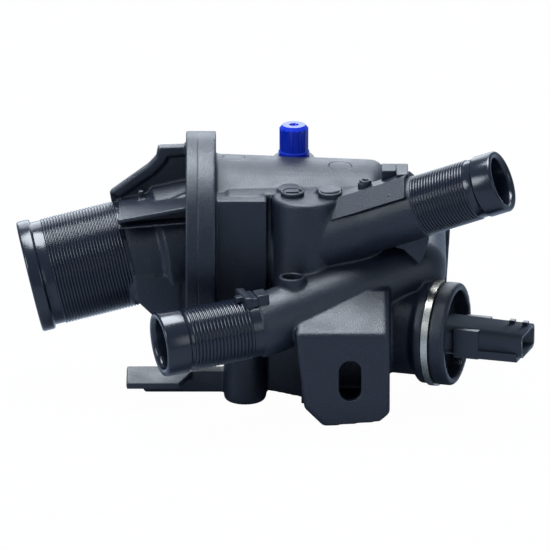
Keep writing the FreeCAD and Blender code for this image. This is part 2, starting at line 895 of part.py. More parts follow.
shelf = prism(
    "shelf",
    "XZ_Plane",
    [
        ("shelf_left_x", "shelf_left_z"),
        ("shelf_left_x", "shelf_left_z - shelf_left_depth"),
        ("joint_x - 1", "shelf_right_z - shelf_right_depth"),
        ("joint_x - 1", "shelf_right_z"),
    ],
    "web_y - shelf_front_y",
    ("0", "web_y", "0"),
)
WEB_TOP = [
    ("-61.9", "14.5"),
    ("-48.9", "24.2"),
    ("-46.6", "26.8"),
    ("-46", "30.2"),
    ("joint_x - 1", "30.8"),
]
web = prism(
    "web",
    "XZ_Plane",
    [*WEB_TOP, ("joint_x - 1", "8"), ("-60.7", "8")],
    "web_thickness",
    ("0", "web_y", "0"),
)
web_rim = prism(
    "web_rim",
    "XZ_Plane",
    [
        *WEB_TOP,
        ("joint_x - 1", "30.8 - web_rim_width"),
        ("-46 + web_rim_width", "30.2 - web_rim_width"),
        ("-46.6 + web_rim_width", "26.8 - web_rim_width / 2"),
        ("-48.9 + web_rim_width / 2", "24.2 - web_rim_width"),
        ("-61.9 + web_rim_width", "14.5 - web_rim_width / 2"),
    ],
    "web_rim_thickness",
    ("0", "web_y + (web_rim_thickness - web_thickness) / 2", "0"),
)
post = block(
    "post",
    "post_side",
    "post_side",
    "post_height + 3",
    ("-52.5", "web_y - web_thickness - post_side - 3", "10"),
)
tab = prism(
    "tab",
    "XZ_Plane",
    [
        ("-53.5", "-5"),
        ("-53.5", "-9.5"),
        ("-53.2", "-13.1"),
        ("-47.3", "-18.8"),
        ("-38.7", "-18.8"),
        ("-38.7", "-5"),
    ],
    "tab_thickness",
    ("0", "tab_y + tab_thickness", "0"),
)
cover_solid = joined("cover_solid", [cover_shell, cover_rim, shelf, web, web_rim, post, tab])
cover_bore = turned(
    "cover_bore",
    [
        ("0", "-9"),
        ("cover_root_radius - cover_root_wall", "-9"),
        ("cover_root_radius - cover_root_wall", "cover_root_length - 1"),
        ("cover_bore_radius", "cover_neck_length"),
        ("cover_bore_radius", "cover_length + 1"),
        ("0", "cover_length + 1"),
    ],
    CHAMBER,
    "cover_turn",
    "cover_tilt",
)
cover_trim = block("cover_trim", "20", "90", "90", ("joint_x", "chamber_y - 45", "-45"))
shelf_groove = prism(
    "shelf_groove",
    "XZ_Plane",
    [
        ("shelf_left_x - 1", "shelf_left_z - shelf_lip - 0.2"),
        ("shelf_left_x - 1", "shelf_left_z - shelf_left_depth + shelf_lip / 2"),
        ("joint_x - cover_rim_depth", "shelf_right_z - shelf_right_depth + shelf_lip / 2"),
        ("joint_x - cover_rim_depth", "shelf_right_z - shelf_lip - 0.5"),
    ],
    "shelf_groove_depth + 1",
    ("0", "shelf_front_y + shelf_groove_depth", "0"),
)
cover_hollows = joined("cover_hollows", [cover_bore, cover_trim, shelf_groove])
inlet_cover = removed("inlet_cover", cover_solid, cover_hollows)

# Engine face: seals in their grooves and steel bushes in the bolt holes.
port_seal = turned(
    "port_seal",
    [
        ("port_radius + groove_land + clearance", "0"),
        ("port_radius + groove_land + groove_width - clearance", "0"),
        ("port_radius + groove_land + groove_width - clearance", "groove_depth"),
        ("port_radius + groove_land + clearance", "groove_depth"),
    ],
    ("0", "0", "0"),
    "-90",
    "90",
)
return_seal = turned(
    "return_seal",
    [
        ("return_port_radius + groove_land + clearance", "0"),
        ("return_port_radius + groove_land + groove_width - clearance", "0"),
        ("return_port_radius + groove_land + groove_width - clearance", "groove_depth"),
        ("return_port_radius + groove_land + clearance", "groove_depth"),
    ],
    ("elbow_x", "0", "elbow_z"),
    "-90",
    "90",
)
bushes = [
    turned(
        f"bolt_bush_{i}",
        [
            ("bush_bore_radius", "0"),
            ("bush_radius", "0"),
            ("bush_radius", "plate_thickness"),
            ("bush_bore_radius", "plate_thickness"),
        ],
        (x, "0", z),
        "-90",
        "90",
    )
    for i, (x, z) in enumerate(BOLTS, start=1)
]

# Bleed screw: fluted cap with a collar, shank with an O-ring groove.
BLEED = ("bleed_x", "bleed_y", "bleed_seat_z")
SHANK = "(bleed_bore_radius - clearance)"
cap_blank = turned(
    "cap_blank",
    [
        ("0", "-bleed_shank_length"),
        (SHANK, "-bleed_shank_length"),
        (SHANK, "-3.6"),
        (f"{SHANK} - 0.9", "-3.6"),
        (f"{SHANK} - 0.9", "-1.8"),
        (SHANK, "-1.8"),
        (SHANK, "clearance"),
        ("cap_radius", "clearance"),
        ("cap_radius", "1.6"),
        ("cap_radius - 0.3", "2"),
        ("cap_radius - 0.3", "cap_height - 1.2"),
        ("cap_radius - 1.3", "cap_height"),
        ("1.6", "cap_height"),
        ("1.2", "cap_height - 1"),
        ("0", "cap_height - 1"),
    ],
    BLEED,
)
flute = rod(
    "flute",
    "flute_radius",
    "cap_height",
    ("bleed_x + cap_radius", "bleed_y", "bleed_seat_z + 2.2"),
)
flutes = doc.addObject("Part::Feature", "flutes")
doc.recompute()
bleed_axis = Vector(number("bleed_x"), number("bleed_y"), 0)
flute_cuts = []
for i in range(int(number("flute_count"))):
    cut = flute.Shape.copy()
    cut.rotate(bleed_axis, Vector(0, 0, 1), 360 * i / number("flute_count"))
    flute_cuts.append(cut)
flutes.Shape = Part.makeCompound(flute_cuts)
bleed_screw = removed("bleed_screw", cap_blank, flutes)
bleed_seal = turned(
    "bleed_seal",
    [
        (f"{SHANK} - 0.9 + clearance", "-3.5"),
        ("bleed_bore_radius - clearance / 2", "-3.5"),
        ("bleed_bore_radius - clearance / 2", "-1.9"),
        (f"{SHANK} - 0.9 + clearance", "-1.9"),
    ],
    BLEED,
)

# Sensor: plug, head and connector shell; brass probe, seal, terminals and spring clip.
HEAD_START = "(collar_bore_depth - sensor_head_depth)"
plug = turned(
    "sensor_plug",
    [
        ("0", HEAD_START),
        ("sensor_head_radius", HEAD_START),
        ("sensor_head_radius", "collar_bore_depth"),
        ("seat_radius - clearance", "collar_bore_depth"),
        ("seat_radius - clearance", "collar_bore_depth + 4"),
        ("seat_radius - 2", "collar_bore_depth + 4"),
        ("seat_radius - 2", "collar_bore_depth + 7"),
        ("seat_radius - clearance", "collar_bore_depth + 7"),
        ("seat_radius - clearance", "sensor_plug_end"),
        ("probe_radius", "sensor_plug_end"),
        ("probe_radius", "sensor_plug_end - 5"),
        ("0", "sensor_plug_end - 5"),
    ],
    SENSOR,
    "sensor_turn",
    "90",
)
connector = prism(
    "connector",
    "XY_Plane",
    [
        ("-connector_height / 2", "-connector_width / 2"),
        ("connector_height / 2", "-connector_width / 2"),
        ("connector_height / 2", "connector_width / 2"),
        ("-connector_height / 2", "connector_width / 2"),
    ],
    f"connector_length + {HEAD_START} + 1",
    (
        "sensor_x - connector_length * cos(sensor_turn)",
        "sensor_y - connector_length * sin(sensor_turn)",
        "sensor_z",
    ),
    "sensor_turn",
    "90",
)
rounded(connector, "connector_round", lambda edge: edge.BoundBox.ZLength > 1)
connector_socket = prism(
    "connector_socket",
    "XY_Plane",
    [
        ("connector_wall - connector_height / 2", "connector_wall - connector_width / 2"),
        ("connector_height / 2 - connector_wall", "connector_wall - connector_width / 2"),
        ("connector_height / 2 - connector_wall", "connector_width / 2 - connector_wall"),
        ("connector_wall - connector_height / 2", "connector_width / 2 - connector_wall"),
    ],
    "connector_depth + 1",
    (
        "sensor_x - (connector_length + 1) * cos(sensor_turn)",
        "sensor_y - (connector_length + 1) * sin(sensor_turn)",
        "sensor_z",
    ),
    "sensor_turn",
    "90",
)
rounded(connector_socket, "connector_round - connector_wall", lambda edge: edge.BoundBox.ZLength > 1)
sensor_solid = joined("sensor_solid", [plug, connector])


def terminal(name, side):
    """A flat blade in the connector socket, moulded into its floor."""
    return prism(
        name,
        "XY_Plane",
        [
            ("-pin_thickness / 2", f"{side} * pin_spacing / 2 - pin_width / 2"),
            ("pin_thickness / 2", f"{side} * pin_spacing / 2 - pin_width / 2"),
            ("pin_thickness / 2", f"{side} * pin_spacing / 2 + pin_width / 2"),
            ("-pin_thickness / 2", f"{side} * pin_spacing / 2 + pin_width / 2"),
        ],
        "connector_depth",
        (
            "sensor_x - (connector_length - 4) * cos(sensor_turn)",
            "sensor_y - (connector_length - 4) * sin(sensor_turn)",
            "sensor_z",
        ),
        "sensor_turn",
        "90",
    )


terminal_left = terminal("terminal_left", "-1")
terminal_right = terminal("terminal_right", "1")
sensor_terminals = joined("sensor_terminals", [terminal_left, terminal_right])
sensor_hollows = joined("sensor_hollows", [connector_socket, sensor_terminals])
sensor_body = removed("sensor_body", sensor_solid, sensor_hollows)
sensor_probe = turned(
    "sensor_probe",
    [
        ("0", "sensor_plug_end - 5"),
        ("probe_radius", "sensor_plug_end - 5"),
        ("probe_radius", "probe_end - 1"),
        ("probe_radius - 1", "probe_end"),
        ("0", "probe_end"),
    ],
    SENSOR,
    "sensor_turn",
    "90",
)
sensor_seal = turned(
    "sensor_seal",
    [
        ("seat_radius - 2 + clearance", "collar_bore_depth + 4.2"),
        ("seat_radius", "collar_bore_depth + 4.2"),
        ("seat_radius", "collar_bore_depth + 6.8"),
        ("seat_radius - 2 + clearance", "collar_bore_depth + 6.8"),
    ],
    SENSOR,
    "sensor_turn",
    "90",
)
sensor_clip = turned(
    "sensor_clip",
    [
        ("clip_inner_radius", "clip_station - clip_width / 2"),
        ("clip_outer_radius", "clip_station - clip_width / 2"),
        ("clip_outer_radius", "clip_station + clip_width / 2"),
        ("clip_inner_radius", "clip_station + clip_width / 2"),
    ],
    SENSOR,
    "sensor_turn",
    "90",
    "360 - clip_opening",
)

# Wax valve: stations run from the joint into the chamber along its axis.
RING_OUTER = "(seal_seat_radius - seal_lip)"
valve_flange = turned(
    "valve_flange",
    [
        ("seat_bore_radius", "ring_start"),
        (RING_OUTER, "ring_start"),
        (RING_OUTER, "ring_start + ring_thickness"),
        ("seat_bore_radius + ring_thickness", "ring_start + ring_thickness"),
        ("seat_bore_radius + ring_thickness", "ring_start + ring_thickness + seat_lip"),
        ("seat_bore_radius", "ring_start + ring_thickness + seat_lip"),
    ],
    CHAMBER,
    tilt="90",
)
VALVE_START = "(ring_start + ring_thickness + seat_lip + clearance)"
valve_bridge = prism(
    "valve_bridge",
    "XZ_Plane",
    [
        ("ring_start", "strap_radius"),
        ("-bridge_height", "bridge_half_width"),
        ("-bridge_height", "-bridge_half_width"),
        ("ring_start", "-strap_radius"),
        ("ring_start", "strap_thickness - strap_radius"),
        ("strap_thickness - bridge_height", "strap_thickness - bridge_half_width"),
        ("strap_thickness - bridge_height", "bridge_half_width - strap_thickness"),
        ("ring_start", "strap_radius - strap_thickness"),
    ],
    "strap_width",
    CHAMBER,
    centred=True,
)
valve_seal = turned(
    "valve_seal",
    [
        (f"{RING_OUTER} - seal_face", "clearance"),
        ("seal_seat_radius", "clearance"),
        ("seal_seat_radius", "seal_seat_depth"),
        (f"{RING_OUTER} - seal_step", "seal_seat_depth"),
        (f"{RING_OUTER} - seal_step", "ring_start + ring_thickness"),
        (RING_OUTER, "ring_start + ring_thickness"),
        (RING_OUTER, "ring_start"),
        (f"{RING_OUTER} - seal_face", "ring_start"),
    ],
    CHAMBER,
    tilt="90",
)
CAGE_RADIUS = "(chamber_radius - wall - 3)"
cage_strap = prism(
    "cage_strap",
    "XY_Plane",
    [
        ("ring_start + ring_thickness", CAGE_RADIUS),
        ("cage_depth", f"{CAGE_RADIUS} - 4"),
        ("cage_depth", f"4 - {CAGE_RADIUS}"),
        ("ring_start + ring_thickness", f"-{CAGE_RADIUS}"),
        ("ring_start + ring_thickness", f"strap_thickness - {CAGE_RADIUS}"),
        ("cage_depth - strap_thickness", f"4 + strap_thickness - {CAGE_RADIUS}"),
        ("cage_depth - strap_thickness", f"{CAGE_RADIUS} - 4 - strap_thickness"),
        ("ring_start + ring_thickness", f"{CAGE_RADIUS} - strap_thickness"),
    ],
    "strap_width * 2",
    CHAMBER,
    centred=True,
)
cage_guide = rod(
    "cage_guide",
    "spring_radius + spring_wire",
    "strap_thickness",
    ("joint_x + cage_depth - strap_thickness", "chamber_y", "0"),
    "0",
    "90",
)
cage_solid = joined("cage_solid", [cage_strap, cage_guide])
cage_hole = rod(
    "cage_hole",
    "capsule_radius + 0.4",
    "strap_thickness + 4",
    ("joint_x + cage_depth - 4", "chamber_y", "0"),
    "0",
    "90",
)
valve_cage = removed("valve_cage", cage_solid, cage_hole)
valve_plate = turned(
    "valve_plate",
    [
        ("capsule_neck_radius", VALVE_START),
        ("valve_radius", VALVE_START),
        ("valve_radius", f"{VALVE_START} + valve_thickness"),
        ("capsule_neck_radius", f"{VALVE_START} + valve_thickness"),
    ],
    CHAMBER,
    tilt="90",
)
wax_capsule = turned(
    "wax_capsule",
    [
        ("piston_radius + clearance", "-5"),
        ("capsule_neck_radius", "-5"),
        ("capsule_neck_radius", f"{VALVE_START} + valve_thickness"),
        ("capsule_radius", f"{VALVE_START} + valve_thickness"),
        ("capsule_radius", "capsule_end - 2"),
        ("capsule_radius - 2", "capsule_end"),
        ("0", "capsule_end"),
        ("0", "capsule_end - 6"),
        ("piston_radius + clearance", "capsule_end - 6"),
    ],
    CHAMBER,
    tilt="90",
)
piston = turned(
    "piston",
    [
        ("0", "strap_thickness - bridge_height"),
        ("piston_radius", "strap_thickness - bridge_height"),
        ("piston_radius", "capsule_end - 7"),
        ("0", "capsule_end - 7"),
    ],
    CHAMBER,
    tilt="90",
)

def spring_shape():
    """A wire coiled between the valve plate and the cage floor, about the chamber axis.

    Its path is eight arcs a turn through points of a helix."""
    start = number(f"{VALVE_START} + valve_thickness + spring_wire / 2 + clearance")
    end = number("cage_depth - strap_thickness - spring_wire / 2 - clearance")
    radius = number("spring_radius")
    turns = number("spring_turns")
    rise = (end - start) / turns

    def on_coil(turn):
        angle = 2 * math.pi * turn
        return Vector(start + rise * turn, radius * math.sin(angle), -radius * math.cos(angle))

    arcs = round(turns * 8)
    steps = [turns * i / arcs for i in range(arcs + 1)]
    path = Part.Wire(
        [
            Part.Arc(on_coil(a), on_coil((a + b) / 2), on_coil(b)).toShape()
            for a, b in zip(steps, steps[1:])
        ]
    )
    along = Vector(rise / (2 * math.pi), radius, 0)
    section = Part.Wire(Part.makeCircle(number("spring_wire") / 2, on_coil(0), along))
    coil = path.makePipeShell([section], True, True)
    coil.translate(Vector(number("joint_x"), number("chamber_y"), 0))
    return coil


main_spring = doc.addObject("Part::Feature", "main_spring")
main_spring.Shape = spring_shape()

SUB_PARTS = {
    "housing": housing,
    "inlet_cover": inlet_cover,
    "port_seal": port_seal,
    "return_seal": return_seal,
    "bolt_bush_1": bushes[0],
    "bolt_bush_2": bushes[1],
    "bolt_bush_3": bushes[2],
    "bleed_screw": bleed_screw,
    "bleed_seal": bleed_seal,
    "sensor_body": sensor_body,
    "sensor_probe": sensor_probe,
    "sensor_seal": sensor_seal,
    "sensor_terminals": sensor_terminals,
    "sensor_clip": sensor_clip,
    "valve_flange": valve_flange,
    "valve_seal": valve_seal,
    "valve_bridge": valve_bridge,
    "valve_cage": valve_cage,
    "valve_plate": valve_plate,
    "wax_capsule": wax_capsule,
    "piston": piston,
    "main_spring": main_spring,
}

for node, feature in SUB_PARTS.items():
    feature.Label = node
doc.recompute()
failed = [f.Name for f in doc.Objects if "Invalid" in f.State or "Error" in f.State]
if failed:
    raise RuntimeError("features that did not build: " + ", ".join(failed))
os.makedirs("parts", exist_ok=True)
for node, feature in SUB_PARTS.items():
    shape = feature.Shape
    if shape.isNull() or not shape.isValid():
        raise RuntimeError("no sound solid for " + node)
for node, feature in SUB_PARTS.items():
    feature.Shape.exportStep(f"parts/{node}.step")
    print(node, len(feature.Shape.Solids), round(feature.Shape.Volume, 1))
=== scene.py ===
import math

import bmesh
import bpy
import numpy as np
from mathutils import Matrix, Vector


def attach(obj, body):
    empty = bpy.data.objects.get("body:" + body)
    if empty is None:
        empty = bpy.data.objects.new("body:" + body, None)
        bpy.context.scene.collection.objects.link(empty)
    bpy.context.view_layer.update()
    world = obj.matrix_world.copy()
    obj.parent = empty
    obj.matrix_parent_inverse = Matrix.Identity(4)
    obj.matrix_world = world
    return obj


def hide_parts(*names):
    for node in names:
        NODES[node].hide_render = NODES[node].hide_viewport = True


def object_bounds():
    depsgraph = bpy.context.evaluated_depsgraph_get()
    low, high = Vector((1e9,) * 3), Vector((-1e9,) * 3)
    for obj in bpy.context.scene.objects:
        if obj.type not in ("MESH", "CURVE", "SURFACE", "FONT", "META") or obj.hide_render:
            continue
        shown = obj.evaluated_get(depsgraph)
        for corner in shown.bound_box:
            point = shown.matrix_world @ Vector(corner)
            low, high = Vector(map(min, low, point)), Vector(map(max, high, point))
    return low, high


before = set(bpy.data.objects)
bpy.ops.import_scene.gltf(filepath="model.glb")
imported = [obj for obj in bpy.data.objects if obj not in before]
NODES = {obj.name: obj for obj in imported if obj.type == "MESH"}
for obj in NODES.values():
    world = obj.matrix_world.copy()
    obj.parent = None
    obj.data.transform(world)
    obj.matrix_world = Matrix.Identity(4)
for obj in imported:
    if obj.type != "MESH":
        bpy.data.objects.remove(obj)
cad_box = [list(corner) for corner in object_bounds()]

# Housing: one moulding of glass-filled nylon with the valve chamber, both pipes, the slotted
# bracket and the engine plate. It comes out of the tool with a fine grain and softly rounded edges,
# and where the ejector pins stood it keeps two circles.
MM = 0.001
NYLON_BASE = "#111622"
NYLON_FIBRE = "#343C4A"
NYLON_IOR = 1.53
BODY_ROUGHNESS = (0.34, 0.46)
FIBRE_GRAIN = 0.45 * MM
FLOW_MARK = 9 * MM
GRAIN_DEPTH = 0.2 * MM
PIN_CIRCLES = [(-21.2, -35.0, 3.8), (13.8, -39.4, 3.8)]
PIN_CIRCLE_DEPTH = 0.35 * MM
PIN_CIRCLE_EDGE = (-0.25 * MM, 0.1 * MM)


def linear(hex_colour):
    """An sRGB hex colour as linear red, green, blue and alpha."""
    parts = [int(hex_colour[i:i + 2], 16) / 255 for i in (1, 3, 5)]
    return [c / 12.92 if c <= 0.04045 else ((c + 0.055) / 1.055) ** 2.4 for c in parts] + [1.0]


def add(tree, kind, settings=None, **sockets):
    """Add a node: settings are its own properties, sockets its inputs, as values or outputs to link."""
    node = tree.nodes.new(kind)
    for name, value in (settings or {}).items():
        setattr(node, name, value)
    for name, value in sockets.items():
        key = int(name[1:]) if name[0] == "i" and name[1:].isdigit() else name.replace("_", " ")
        if isinstance(value, bpy.types.NodeSocket):
            tree.links.new(value, node.inputs[key])
        else:
            node.inputs[key].default_value = value
    return node


def moulded_nylon(name, roughness, grain_height, fibre_share, circles=()):
    """Black PA66 with glass fibre: near-black resin with paler flecks, a fine moulded grain and a
    gloss that wanders with the melt's flow. Real fibres are too fine to show, so the flecks are
    drawn as wide as the grain. Circles are (x, y, radius) outlines of ejector pins on the top."""
    material = bpy.data.materials.new(name)
    material.use_nodes = True
    tree = material.node_tree
    tree.nodes.clear()
    place = add(tree, "ShaderNodeTexCoord").outputs["Object"]
    flecks = add(
        tree, "ShaderNodeTexNoise", Vector=place, Scale=1 / FIBRE_GRAIN, Detail=3.0, Roughness=0.65
    )
    flow = add(
        tree, "ShaderNodeTexNoise", Vector=place, Scale=1 / FLOW_MARK, Detail=2.0, Roughness=0.5
    )
    fleck_share = add(
        tree, "ShaderNodeMapRange", Value=flecks.outputs["Fac"],
        From_Min=0.52, From_Max=0.78, To_Min=0.0, To_Max=fibre_share,
    )
    colour = add(
        tree, "ShaderNodeMix", {"data_type": "RGBA"}, i0=fleck_share.outputs["Result"],
        i6=linear(NYLON_BASE), i7=linear(NYLON_FIBRE),
    )
    gloss = add(
        tree, "ShaderNodeMapRange", Value=flow.outputs["Fac"],
        From_Min=0.3, From_Max=0.7, To_Min=roughness[0], To_Max=roughness[1],
    )
    relief = add(
        tree, "ShaderNodeBump", Height=flecks.outputs["Fac"], Strength=grain_height, Distance=GRAIN_DEPTH
    )
    level = add(tree, "ShaderNodeVectorMath", {"operation": "MULTIPLY"}, i0=place, i1=(1, 1, 0))
    for x, y, radius in circles:
        away = add(
            tree, "ShaderNodeVectorMath", {"operation": "DISTANCE"},
            i0=level.outputs["Vector"], i1=(x * MM, y * MM, 0),
        )
        off_line = add(
            tree, "ShaderNodeMath", {"operation": "SUBTRACT"}, i0=away.outputs["Value"], i1=radius * MM
        )
        depth = add(
            tree, "ShaderNodeMapRange", Value=off_line.outputs["Value"],
            From_Min=PIN_CIRCLE_EDGE[0], From_Max=PIN_CIRCLE_EDGE[1], To_Min=0.0, To_Max=1.0,
        )
        relief = add(
            tree, "ShaderNodeBump", Height=depth.outputs["Result"], Strength=1.0,
            Distance=PIN_CIRCLE_DEPTH, Normal=relief.outputs["Normal"],
        )
    shader = add(
        tree, "ShaderNodeBsdfPrincipled", Base_Color=colour.outputs["Result"],
        Roughness=gloss.outputs["Result"], IOR=NYLON_IOR, Normal=relief.outputs["Normal"],
    )
    add(tree, "ShaderNodeOutputMaterial", Surface=shader.outputs["BSDF"])
    return material


def finish_node(node, material):
    """Give a CAD node its material."""
    mesh = NODES[node].data
    mesh.materials.clear()
    mesh.materials.append(material)


BODY_NYLON = moulded_nylon(
    "glass_filled_nylon", BODY_ROUGHNESS, grain_height=0.6, fibre_share=0.6, circles=PIN_CIRCLES
)
finish_node("housing", BODY_NYLON)


def axes(turn, tilt):
    """Local X, Y and Z of a frame whose Z leans by tilt from +Z towards the heading turn, in degrees."""
    t, p = math.radians(turn), math.radians(tilt)
    x = np.array((math.cos(p) * math.cos(t), math.cos(p) * math.sin(t), -math.sin(p)))
    y = np.array((-math.sin(t), math.cos(t), 0.0))
    return x, y, np.cross(x, y)


# Each frame is a place and its axes: the chamber's has Z along the chamber, a hose stub's has it
# from the mouth inwards. Places and sizes are in millimetres.
LEVEL = (np.array((1.0, 0, 0)), np.array((0, 1.0, 0)), np.array((0, 0, 1.0)))
FACING = (np.array((1.0, 0, 0)), np.array((0, 0, 1.0)), np.array((0, -1.0, 0)))
CHAMBER = (np.array((0, -36.0, 0)), axes(0, 90))
UPPER = (np.array((66.5, -73.8, 30.7)), axes(164.5, 111.65))
LOWER = (np.array((-45.3, -91.3, -19.6)), axes(17.05, 84.84))
RADIATOR = (np.array((-88.31, -40.26, -13.11)), axes(4.4, 76.7))


def prism(corners, low, high, place=np.zeros(3), frame_axes=LEVEL):
    """Closed prism: corners (x, y) at z = low and z = high of a frame. Point = place + x X + y Y + z Z."""
    x, y, z = frame_axes
    flat = place + np.array(corners, float) @ np.array((x, y))
    count = len(flat)
    sides = [(i, (i + 1) % count, (i + 1) % count + count, i + count) for i in range(count)]
    caps = [tuple(reversed(range(count))), tuple(range(count, 2 * count))]
    return np.concatenate((flat + low * z, flat + high * z)), caps + sides


def slab(low, high):
    """Closed box between two corners."""
    corners = [(low[0], low[1]), (high[0], low[1]), (high[0], high[1]), (low[0], high[1])]
    return prism(corners, low[2], high[2])


def upright(corners, back, front):
    """Closed prism whose corners (x, z) lie in an upright plane, from y = back to y = front."""
    return prism(corners, -back, -front, frame_axes=FACING)


def turned(profile, place, frame_axes=LEVEL, sides=96):
    """Closed ring surface: (radius r, station s) go round the profile's loop, and the point at
    angle a is place + s Z + r (cos a X + sin a Y)."""
    x, y, z = frame_axes
    angles = np.arange(sides) * 2 * math.pi / sides
    round_axis = np.outer(np.cos(angles), x) + np.outer(np.sin(angles), y)
    radii, stations = np.array(profile, float).T
    points = place + stations[:, None, None] * z + radii[:, None, None] * round_axis
    ring = np.arange(len(profile))[:, None] * sides
    next_ring = np.roll(ring, -1, axis=0)
    side = np.arange(sides)
    next_side = np.roll(side, -1)
    corners = (ring + side, ring + next_side, next_ring + next_side, next_ring + side)
    return points.reshape(-1, 3), np.stack(corners, axis=-1).reshape(-1, 4).tolist()


def add_closed(bm, points, faces):
    """Add a closed surface in millimetres to the mesh, with its faces outwards."""
    loose = bpy.data.meshes.new("closed_surface")
    loose.from_pydata((points * MM).tolist(), [], faces)
    solid = bmesh.new()
    solid.from_mesh(loose)
    bmesh.ops.recalc_face_normals(solid, faces=solid.faces)
    if solid.calc_volume(signed=True) < 0:
        bmesh.ops.reverse_faces(solid, faces=solid.faces)
    solid.to_mesh(loose)
    solid.free()
    bm.from_mesh(loose)
    bpy.data.meshes.remove(loose)


def solid_mesh(name, solids, start=None):
    """A mesh of closed surfaces, beside what a start mesh holds."""
    bm = bmesh.new()
    if start:
        bm.from_mesh(start)
    for points, faces in solids:
        add_closed(bm, points, faces)
    mesh = bpy.data.meshes.new(name)
    bm.to_mesh(mesh)
    bm.free()
    return mesh


JOIN_DISTANCE = 0.001 * MM


def reshaped_copy(node, reshape):
    """A copy of a CAD node's mesh, its triangles joined and its points moved by reshape, which
    takes and gives an array of places in millimetres."""
    bm = bmesh.new()
    bm.from_mesh(NODES[node].data)
    bmesh.ops.remove_doubles(bm, verts=bm.verts, dist=JOIN_DISTANCE)
    mesh = bpy.data.meshes.new(node + "_copy")
    bm.to_mesh(mesh)
    bm.free()
    flat = np.empty(3 * len(mesh.vertices))
    mesh.vertices.foreach_get("co", flat)
    points = reshape(flat.reshape(-1, 3) / MM)
    mesh.vertices.foreach_set("co", (points * MM).ravel())
    return mesh


# A hose stub's inner and outer wall and its mouth are drawn back by these, so that the separate
# stub surface covers them. It is drawn over points just past the stub's own sizes as well.
INNER_COVER = 0.3
OUTER_COVER = 0.5
MOUTH_COVER = 0.8
BORE_MARGIN = 1.0
BEAD_MARGIN = 0.5
MOUTH_MARGIN = 2.0


def slim(points, frame_place, length, bore, radius, bead):
    """Draw a hose stub's wall in: each near point keeps its angle, its radius is held between bore
    and outer radius less their covers, and its station is no nearer the mouth than its cover."""
    place, (_, _, z) = frame_place
    away = points - place
    station = away @ z
    across = away - np.outer(station, z)
    reach = np.linalg.norm(across, axis=1)
    along = (station > -MOUTH_MARGIN) & (station < length)
    near = along & (reach > bore - BORE_MARGIN) & (reach < bead + BEAD_MARGIN)
    share = np.clip(reach, bore + INNER_COVER, radius - OUTER_COVER) / np.maximum(reach, 0.001)
    drawn = place + np.outer(np.maximum(station, MOUTH_COVER), z) + across * share[:, None]
    return np.where(near[:, None], drawn, points)


def new_piece(name, mesh, material):
    """An object at the origin that moves with the housing."""
    piece = bpy.data.objects.new(name, mesh)
    bpy.context.scene.collection.objects.link(piece)
    mesh.materials.clear()
    mesh.materials.append(material)
    mesh.shade_smooth()
    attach(piece, "housing_body")
    return piece


def modified(piece):
    """The mesh that an object's modifiers give."""
    graph = bpy.context.evaluated_depsgraph_get()
    return bpy.data.meshes.new_from_object(piece.evaluated_get(graph))


PIECE_TRIANGLES = 180000


def moulded(name, node, reshape, extra, voxel, smoothing):
    """One moulding over a CAD node: its reshaped copy and the extra forms are remeshed into one
    skin of even cells and smoothed, so that walls run into each other with soft edges."""
    blank = bpy.data.objects.new(name, solid_mesh(name, extra, reshaped_copy(node, reshape)))
    bpy.context.scene.collection.objects.link(blank)
    grid = blank.modifiers.new("grid", "REMESH")
    grid.mode = "VOXEL"
    grid.voxel_size = voxel
    smooth = blank.modifiers.new("smooth", "SMOOTH")
    smooth.factor = 0.5
    smooth.iterations = smoothing
    skin = modified(blank)
    blank.modifiers.clear()
    blank.data = skin
    triangles = sum(len(face.vertices) - 2 for face in skin.polygons)
    if triangles > PIECE_TRIANGLES:
        thin = blank.modifiers.new("thin", "DECIMATE")
        thin.ratio = PIECE_TRIANGLES / triangles
        skin = modified(blank)
    bpy.data.objects.remove(blank)
    piece = new_piece(name, skin, BODY_NYLON)
    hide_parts(node)
    return piece


UPPER_STUB = {"bore": 7.7, "radius": 9.7, "bead": 10.2}
LOWER_STUB = {"bore": 7.9, "radius": 9.9, "bead": 10.7}
UPPER_SLIM_LENGTH = 28.9
LOWER_SLIM_LENGTH = 33.0
LEDGE = ((-26.2, -63.0, -14.0), (-10.3, -54.4, 20.4))
SLOT_BACKING = ((1.0, -73.0, -46.0), (28.0, -70.5, -18.0))
FLANGE_BORE = 28.0
FLANGE_RADIUS = 34.2
HOUSING_FLANGE = (-33.4, -27.0)
HOUSING_VOXEL = 0.5 * MM
HOUSING_SMOOTHING = 5


def flange_ring(low, high):
    """Flat ring of the welded flange, between two stations of the chamber."""
    profile = [(FLANGE_BORE, low), (FLANGE_RADIUS, low), (FLANGE_RADIUS, high), (FLANGE_BORE, high)]
    return turned(profile, *CHAMBER)


def reshape_housing(points):
    """Both small hose stubs drawn in."""
    points = slim(points, UPPER, UPPER_SLIM_LENGTH, **UPPER_STUB)
    return slim(points, LOWER, LOWER_SLIM_LENGTH, **LOWER_STUB)


moulded(
    "moulded_housing", "housing", reshape_housing,
    [slab(*LEDGE), slab(*SLOT_BACKING), flange_ring(*HOUSING_FLANGE)],
    HOUSING_VOXEL, HOUSING_SMOOTHING,
)

